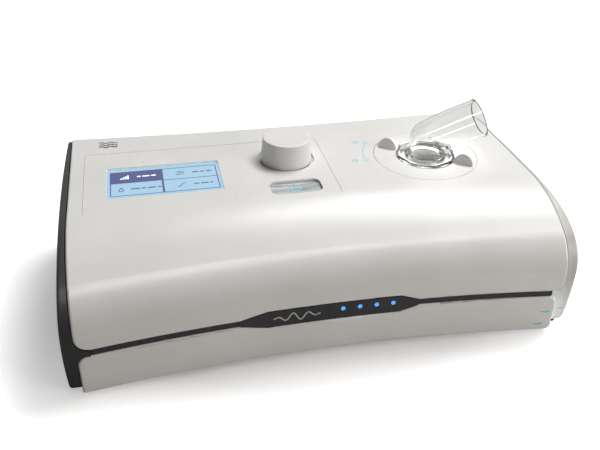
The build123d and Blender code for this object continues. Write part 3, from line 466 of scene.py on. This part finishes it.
# ================================================================ display
MENU_MARGIN = (1.5 * MM, 3.2 * MM)
MENU_LINE = 0.55 * MM
MENU_SPLIT = (0.482, 0.51)  # where the dividers cross, as a share of the menu's width and height


def menu_grid():
    low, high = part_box("display_window")
    u = (low.x + MENU_MARGIN[0], high.x - MENU_MARGIN[0])
    v = (low.y + MENU_MARGIN[1], high.y - MENU_MARGIN[1])
    middle = (u[0] + (u[1] - u[0]) * MENU_SPLIT[0], v[0] + (v[1] - v[0]) * MENU_SPLIT[1])
    return u, v, middle


def lit_ink(name, color, glow, strength):
    """Ink in front of a light."""
    material = ink(name, color, 0.3, Emission_Strength=strength)
    shader_of(material).inputs["Emission Color"].default_value = (*glow, 1)
    return material


def display():
    """Menu of four cells with plain pictograms, and bars in place of words."""
    lines = Relief(on_level(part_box("lcd_module")[1].z + 0.02 * MM))
    u, v, (mid_u, mid_v) = menu_grid()
    menu_lines(lines, u, v, mid_u, mid_v)
    right = ((mid_u + u[1]) / 2, (mid_v + v[1]) / 2)
    below = ((mid_u + u[0]) / 2, (mid_v + v[0]) / 2)
    sliders(lines, (right[0] - 5 * MM, right[1]))
    dashes(lines, (right[0] + 1.5 * MM, right[1]), (3.4, 2.2, 3.0))
    droplet(lines, (below[0] - 8 * MM, below[1]))
    dashes(lines, (below[0] - 3 * MM, below[1]), (4.6, 2.4, 4.0, 2.0))
    ramp(lines, (right[0] - 5 * MM, below[1]))
    dashes(lines, (right[0] + 1.5 * MM, below[1]), (2.6, 4.0, 1.6))
    shade = lit_ink("display_ink", (0.02, 0.02, 0.05), INDIGO, 1.0)
    lines.piece("display_menu", shade, "housing")
    picked_cell((below[0], right[1]))


def picked_cell(middle):
    """Pale marks in the cell that is picked out."""
    picked = Relief(on_level(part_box("lcd_module")[1].z + 0.06 * MM))
    bars(picked, (middle[0] - 6 * MM, middle[1]))
    dashes(picked, (middle[0] + 0.5 * MM, middle[1]), (2.0, 3.6, 2.4))
    pale = lit_ink("display_picked_ink", PICKED, PICKED, 0.8)
    picked.piece("display_picked_marks", pale, "housing")


def menu_lines(lines, u, v, mid_u, mid_v):
    """Border, the two dividers and the filled ground of the picked cell."""
    lines.frame(u, v, MENU_LINE)
    lines.rectangle((mid_u - MENU_LINE, mid_u + MENU_LINE), (v[0] + MENU_LINE, v[1] - MENU_LINE))
    lines.rectangle((mid_u + MENU_LINE, u[1] - MENU_LINE), (mid_v - MENU_LINE / 2, mid_v + MENU_LINE / 2))
    lines.rectangle((u[0] + MENU_LINE, mid_u - MENU_LINE), (mid_v, v[1] - MENU_LINE))


def dashes(relief, at, lengths):
    """Row of short bars, where a display has its words."""
    u = at[0]
    for length in lengths:
        relief.rectangle((u, u + length * MM), (at[1] - 0.55 * MM, at[1] + 0.55 * MM))
        u += (length + 0.9) * MM


def bars(relief, at):
    for i in range(4):
        u = at[0] + (i - 1.5) * 1.2 * MM
        relief.rectangle((u - 0.4 * MM, u + 0.4 * MM), (at[1] - 2 * MM, at[1] + (i - 0.9) * MM))


def sliders(relief, at):
    for i, knob in enumerate((-0.9, 1.0, -0.2)):
        v = at[1] + (i - 1) * 1.6 * MM
        relief.rectangle((at[0] - 2.4 * MM, at[0] + 2.4 * MM), (v - 0.15 * MM, v + 0.15 * MM))
        relief.disc((at[0] + knob * MM, v), 0.55 * MM, 12)


def droplet(relief, at):
    """Drop: a round foot under a point."""
    foot = arc_points((at[0], at[1] - 0.7 * MM), 1.5 * MM, radians(150), radians(390), 16)
    outer = foot + [(at[0], at[1] + 2.5 * MM)]
    middle = (at[0], at[1] - 0.5 * MM)
    inner = [(middle[0] + (u - middle[0]) * 0.62, middle[1] + (v - middle[1]) * 0.62) for u, v in outer]
    relief.strip(inner, outer)


def ramp(relief, at):
    """Rising pressure over time."""
    path = [(-2.6, -1.8), (-1.4, -1.8), (1.0, 1.6), (2.6, 1.6)]
    relief.stroke([(at[0] + u * MM, at[1] + v * MM) for u, v in path], 0.5 * MM)


# ================================================================ printed marks
EMBLEM_AT = (-102.7 * MM, 57.5 * MM)
UNLOCKED_AT = (43.5 * MM, 34.0 * MM)
LOCKED_AT = (38.0 * MM, 13.1 * MM)
PLATE_MARK_X = (-29.0 * MM, -5.0 * MM)
# Water levels: height of the bar, height and tip of its arrow on the shell, and the bar's ends
LEVELS = {
    "most": (15.3 * MM, 14.1 * MM, 116.6 * MM, (122.6 * MM, 126.0 * MM)),
    "least": (9.0 * MM, 6.0 * MM, 114.2 * MM, (122.0 * MM, 124.4 * MM)),
}
LEVEL_BAR_T = 0.45 * MM
POWER_MARK_SHIFT = (0.3 * MM, 1.2 * MM)  # from the button's middle
RIM_LENGTH = 0.45 * MM
RIM_WIDTH = 0.24 * MM


def padlock(relief, at, is_open):
    relief.frame((at[0] - 1.5 * MM, at[0] + 1.5 * MM), (at[1] - 1.7 * MM, at[1] + 0.5 * MM), 0.35 * MM)
    shift = -1.3 * MM if is_open else 0
    relief.arc((at[0] + shift, at[1] + 0.6 * MM), 1.0 * MM, 0.35 * MM, 0, pi)


def lock_marks():
    """Two positions of the ring, joined by an arc round the outlet, with a padlock at each."""
    marks = Relief(on_level(TOP_Z + PRINT_T / 3))
    for at in (UNLOCKED_AT, LOCKED_AT):
        marks.ring(at, 1.15 * MM, 0.4 * MM)
    ends = [Vector(at) - OUTLET.xy for at in (UNLOCKED_AT, LOCKED_AT)]
    radius = (ends[0].length + ends[1].length) / 2
    start = Vector((1, 0)).angle(ends[0]) + radians(4)
    end = Vector((1, 0)).angle(ends[1]) - radians(4)
    marks.arc(OUTLET.xy, radius, 0.4 * MM, start, end)
    padlock(marks, (UNLOCKED_AT[0] - 5.5 * MM, UNLOCKED_AT[1] + 1.8 * MM), True)
    padlock(marks, (LOCKED_AT[0] - 6.5 * MM, LOCKED_AT[1] + 0.5 * MM), False)
    marks.piece("lock_marks", ink("ink_cyan", INK_CYAN), "housing")


def air_waves():
    """Three plain waves, as a generic sign for air."""
    marks = Relief(on_level(TOP_Z + PRINT_T / 3))
    for row in (-1, 0, 1):
        line = []
        for i in range(25):
            u = (i / 24 - 0.5) * 10 * MM
            line.append((EMBLEM_AT[0] + u, EMBLEM_AT[1] + 2.6 * MM * row + 0.8 * MM * sin(2 * pi * i / 12)))
        marks.stroke(line, (1.0 - 0.15 * row) * MM)
    marks.piece("air_waves", ink("ink_dark", INK_DARK), "housing")


def breath_line():
    """Breathing curve on the dark plate, as a generic mark."""
    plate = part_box("front_trim_band")
    middle = (plate[0].z + plate[1].z) / 2 + 0.1 * MM
    marks = Relief(on_front("front_trim_band"))
    line = []
    for i in range(97):
        t = i / 96
        swing = sin(2 * pi * 3 * t) * sin(pi * t)
        line.append((PLATE_MARK_X[0] + (PLATE_MARK_X[1] - PLATE_MARK_X[0]) * t, middle + 2.3 * MM * swing))
    marks.stroke(line, 0.75 * MM)
    marks.piece("breath_line", ink("ink_light", INK_LIGHT), "housing")


def level_marks():
    """Highest and lowest water level, as a bar on the tank's clear corner and an arrow on the shell."""
    arrows = Relief(on_front("base_shell"))
    bars_on_tank = Relief(on_front("tank_end_cover"))
    for z, v, u, ends in LEVELS.values():
        arrows.rectangle((u - 3.2 * MM, u - 0.2 * MM), (v - 0.35 * MM, v + 0.35 * MM), 3)
        arrows.area([(u, v - 1.0 * MM), (u + 2.0 * MM, v), (u, v + 1.0 * MM)])
        bars_on_tank.rectangle(ends, (z, z + LEVEL_BAR_T), 6)
    arrows.piece("level_arrows", ink("ink_cyan_shell", INK_CYAN), "housing")
    bars_on_tank.piece("level_bars", ink("ink_cyan_tank", INK_CYAN), "tank")


def power_mark():
    """Open ring with a stroke, on the button."""
    low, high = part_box("power_button")
    middle = ((low.x + high.x) / 2, (low.y + high.y) / 2)
    centre = (middle[0] + POWER_MARK_SHIFT[0], middle[1] + POWER_MARK_SHIFT[1])
    marks = Relief(on_level(high.z + PRINT_T / 3))
    marks.arc((centre[0], centre[1] - 0.3 * MM), 2.7 * MM, 0.7 * MM, radians(125), radians(415), 32)
    across = (centre[0] - 0.35 * MM, centre[0] + 0.35 * MM)
    marks.rectangle(across, (centre[1] + 0.2 * MM, centre[1] + 3.3 * MM))
    cyan = lit_ink("power_ink", INK_CYAN, INK_CYAN, 0.1)
    marks.piece("power_mark", cyan, "power_button")


def outlet_end_shade_ring():
    """Dark ring painted round the end of the clear elbow, as painted shade where its open end shows dark."""
    mount = next(m for m in frame["record"]["mounts"] if m["name"] == "air_outlet")
    along = Vector(mount["axis"])
    at = Vector(mount["pos_m"])
    reach = max((v.co - at).dot(along) for v in frame["nodes"]["outlet_elbow"].data.vertices)
    tip = at + along * (reach - RIM_LENGTH)
    across = Vector((0, 1, 0))
    upright = across.cross(along)
    rim = Relief(lambda u, v, h: tip + across * u + upright * v + along * h, RIM_LENGTH)
    rim.ring((0, 0), mount["dims"]["r_mm"] * MM, RIM_WIDTH, 64)
    # This ink is painted shade, not print: a dark ring where the elbow's open end looks dark
    rim.piece("outlet_end_shade_ring", ink("elbow_end_painted_shade", END_SHADE_GREY, 0.3), "elbow")


# ================================================================ stage
FLOOR_SIZE = 6.0
FLOOR_SHAPE = (0.76, 1, 1)  # the floor whitens outwards in ovals along X
FLOOR_SHADE_FADE = (0.085, 0.145)  # from the object's edge to where the floor is plain white; nearer the object the floor is painted darker, a painted shade round it
FLOOR_GLOW = (0.16, 0.70)  # painted glow that the camera alone sees on top of the floor's own light, weakest next to the object
FLOOR_WHITE = (0.98, 0.98, 0.98)
FLOOR_WARM = (0.46, 0.45, 0.435)
THROUGH_CLEAR = 0.25  # share of that which shows through clear plastic


def looked_at(tree):
    """1 for what the camera sees, less through clear plastic, and 0 for light on its way."""
    path = tree.nodes.new("ShaderNodeLightPath")
    share = tree.nodes.new("ShaderNodeMath")
    share.operation = "MULTIPLY"
    share.inputs[1].default_value = THROUGH_CLEAR
    either = tree.nodes.new("ShaderNodeMath")
    either.operation = "MAXIMUM"
    tree.links.new(path.outputs["Is Transmission Ray"], share.inputs[0])
    tree.links.new(path.outputs["Is Camera Ray"], either.inputs[0])
    tree.links.new(share.outputs[0], either.inputs[1])
    return either.outputs[0]


def floor():
    """Pale floor. Away from the object the camera sees it overexposed, as in a cut-out studio
    picture. Near the object this painted glow weakens, so the floor there is painted darker, a painted shadow. The
    object sees it dimmer and a little warm."""
    bpy.ops.mesh.primitive_plane_add(size=FLOOR_SIZE, location=(0, 0, 0))
    plane = bpy.context.object
    plane.name = "floor"
    material = finish("floor_paint", FLOOR_WHITE, 0.7)
    shader = shader_of(material)
    shader.inputs["Emission Color"].default_value = (1, 1, 1, 1)
    tree = material.node_tree
    seen = looked_at(tree)
    blend_color(material, seen, FLOOR_WARM, FLOOR_WHITE, (0, 1))
    place = tree.nodes.new("ShaderNodeTexCoord")
    oval = tree.nodes.new("ShaderNodeVectorMath")
    oval.operation = "MULTIPLY"
    oval.inputs[1].default_value = FLOOR_SHAPE
    reach = tree.nodes.new("ShaderNodeVectorMath")
    reach.operation = "LENGTH"
    tree.links.new(place.outputs["Object"], oval.inputs[0])
    tree.links.new(oval.outputs["Vector"], reach.inputs[0])
    glow = tree.nodes.new("ShaderNodeMath")
    glow.operation = "MULTIPLY"
    # Painted shade: the camera-only glow is weak next to the object and strong away from it, so the floor is
    # painted darker round the object
    tree.links.new(remap(material, reach.outputs["Value"], FLOOR_SHADE_FADE, FLOOR_GLOW), glow.inputs[0])
    tree.links.new(seen, glow.inputs[1])
    tree.links.new(glow.outputs[0], shader.inputs["Emission Strength"])
    plane.data.materials.append(material)


ROOM_SEEN = 0.6  # brightness of the room in reflections
ROOM_LIGHT = 0.09  # and as light on the object


def softbox(name, at, aim, size, power, color=(1, 1, 1)):
    lamp = bpy.data.lights.new(name, "AREA")
    lamp.shape = "RECTANGLE"
    lamp.size, lamp.size_y = size
    lamp.energy = power
    lamp.color = color
    made = bpy.data.objects.new(name, lamp)
    bpy.context.scene.collection.objects.link(made)
    made.location = at
    made.rotation_euler = (Vector(aim) - Vector(at)).to_track_quat("-Z", "Y").to_euler()
    return made


def lights():
    """Large key light from behind, a fill at the right, and a strip that only shows in reflections."""
    softbox("key", (0.48, 0.34, 1.12), (0.02, 0, 0.03), (0.8, 0.4), 13.2, (1.0, 0.995, 0.985))
    softbox("right_fill", (0.62, -0.55, 0.30), (0.1, -0.07, 0.03), (0.4, 0.3), 2.8, (1.0, 0.96, 0.92))
    sheen = softbox("sheen_strip", (0.25, -0.50, 1.10), (0.02, -0.05, 0.05), (1.8, 0.16), 9.0)
    sheen.visible_diffuse = False
    studio()


def studio():
    """Dim room. Reflections show it brighter, as with white cards around the object, and the
    camera sees it white."""
    world = bpy.data.worlds.new("studio")
    world.use_nodes = True
    tree = world.node_tree
    path = tree.nodes.new("ShaderNodeLightPath")
    dimmed = tree.nodes.new("ShaderNodeMapRange")
    dimmed.inputs["To Min"].default_value = ROOM_SEEN
    dimmed.inputs["To Max"].default_value = ROOM_LIGHT
    total = tree.nodes.new("ShaderNodeMath")
    total.operation = "ADD"
    tree.links.new(path.outputs["Is Diffuse Ray"], dimmed.inputs["Value"])
    tree.links.new(looked_at(tree), total.inputs[0])
    tree.links.new(dimmed.outputs["Result"], total.inputs[1])
    background = tree.nodes["Background"]
    background.inputs["Color"].default_value = (1, 1, 1, 1)
    tree.links.new(total.outputs[0], background.inputs["Strength"])
    bpy.context.scene.world = world


def camera():
    yaw, pitch, roll = CAMERA_YAW, CAMERA_PITCH, CAMERA_ROLL
    ahead = Vector((sin(yaw) * cos(pitch), cos(yaw) * cos(pitch), -sin(pitch)))
    level = Vector((cos(yaw), -sin(yaw), 0))
    upright = level.cross(ahead)
    right = cos(roll) * level + sin(roll) * upright
    up = cos(roll) * upright - sin(roll) * level
    data = bpy.data.cameras.new("camera")
    data.lens = CAMERA_LENS
    data.sensor_width = SENSOR
    data.clip_start = 0.01
    made = bpy.data.objects.new("camera", data)
    bpy.context.scene.collection.objects.link(made)
    turn = Matrix((right, up, -ahead)).transposed().to_4x4()
    made.matrix_world = Matrix.Translation(CAMERA_AT) @ turn
    bpy.context.scene.camera = made


camera()
lights()
floor()
paint_frame()
frame["nodes"]["power_button"].data.materials[0] = BUTTON_CLEAR
display()
lock_marks()
air_waves()
breath_line()
level_marks()
power_mark()
outlet_end_shade_ring()
bpy.context.scene.view_settings.view_transform = "Standard"
